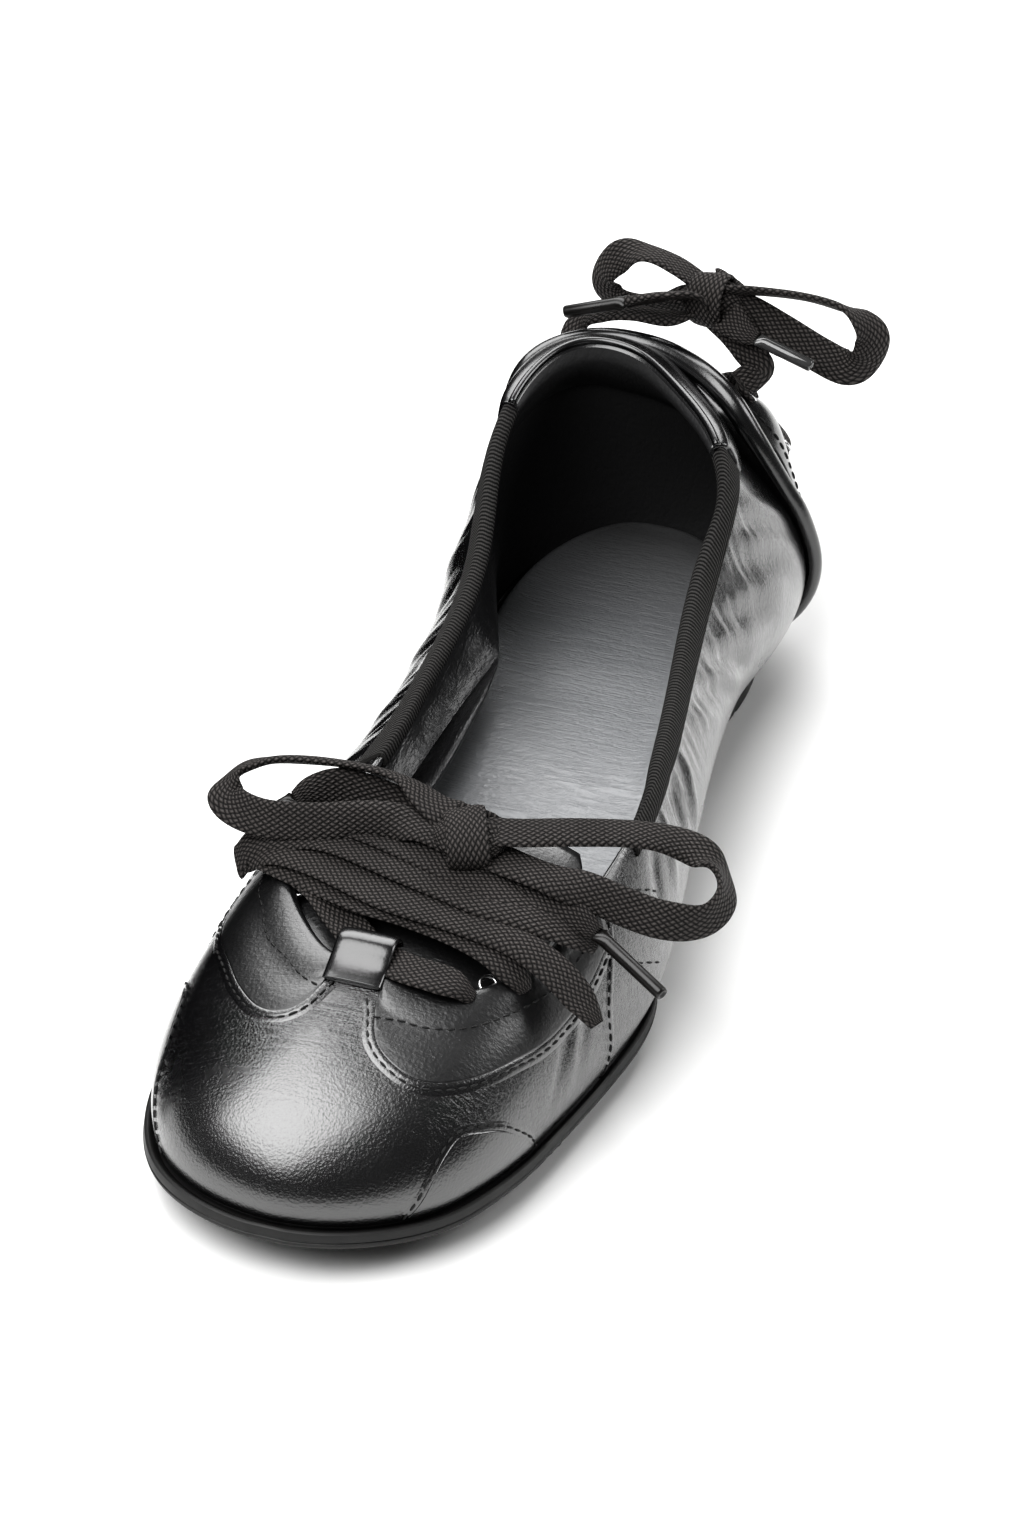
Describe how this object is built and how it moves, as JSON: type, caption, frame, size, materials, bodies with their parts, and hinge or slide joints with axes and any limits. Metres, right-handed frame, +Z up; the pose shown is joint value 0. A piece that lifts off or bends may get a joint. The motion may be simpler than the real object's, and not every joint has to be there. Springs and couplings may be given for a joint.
{
  "type": "ballet sneaker",
  "caption": "Low black leather lace-up ballet sneaker, left foot, with square toe, elastic topline, laced throat with bow, back-laced heel with bow and thin rubber sole.",
  "frame": {"origin": "on the floor, under the middle of the shoe's box without its loose lace", "axes": "+X from heel to toe, +Y to the outer (lateral) side of the foot, +Z up"},
  "size_m": [0.2624, 0.1086, 0.0822],
  "materials": {
    "upper_leather": "glossy fine-grained black leather",
    "sole_rubber": "matt black moulded rubber",
    "insole_leather": "satin dark grey leather",
    "tongue_leather": "satin black leather",
    "panel_leather": "glossy black leather with stitched edges",
    "collar_leather": "glossy padded black leather with piping",
    "elastic_tape": "dull ribbed black elastic",
    "waxed_cotton": "flat woven waxed brown-black cotton",
    "eyelet_steel": "bright plated steel",
    "aglet_plastic": "glossy dark film"
  },
  "bodies": {
    "root": {"upper": "upper_leather", "sole": "sole_rubber", "insole": "insole_leather", "tongue": "tongue_leather", "lace_keeper": "panel_leather", "eyestay_inner": "panel_leather", "eyestay_outer": "panel_leather", "side_wing_inner": "panel_leather", "side_wing_outer": "panel_leather", "heel_counter": "panel_leather", "heel_collar": "collar_leather", "binding_inner": "elastic_tape", "binding_outer": "elastic_tape", "eyelet_front_inner_1": "eyelet_steel", "eyelet_front_inner_2": "eyelet_steel", "eyelet_front_inner_3": "eyelet_steel", "eyelet_heel_inner_1": "eyelet_steel", "eyelet_heel_inner_2": "eyelet_steel", "eyelet_front_outer_1": "eyelet_steel", "eyelet_front_outer_2": "eyelet_steel", "eyelet_front_outer_3": "eyelet_steel", "eyelet_heel_outer_1": "eyelet_steel", "eyelet_heel_outer_2": "eyelet_steel", "lace_front_bars": "waxed_cotton", "lace_heel_bars": "waxed_cotton", "lace_front_knot": "waxed_cotton", "lace_front_loop_inner": "waxed_cotton", "lace_front_loop_outer": "waxed_cotton", "lace_front_end_inner": "waxed_cotton", "lace_front_end_outer": "waxed_cotton", "lace_heel_knot": "waxed_cotton", "lace_heel_loop_inner": "waxed_cotton", "lace_heel_loop_outer": "waxed_cotton", "lace_heel_end_inner": "waxed_cotton", "lace_heel_end_outer": "waxed_cotton", "lace_heel_strand_inner": "waxed_cotton", "lace_heel_strand_outer": "waxed_cotton", "aglet_front_inner": "aglet_plastic", "aglet_front_outer": "aglet_plastic", "aglet_heel_inner": "aglet_plastic", "aglet_heel_outer": "aglet_plastic"}
  },
  "joints": []
}
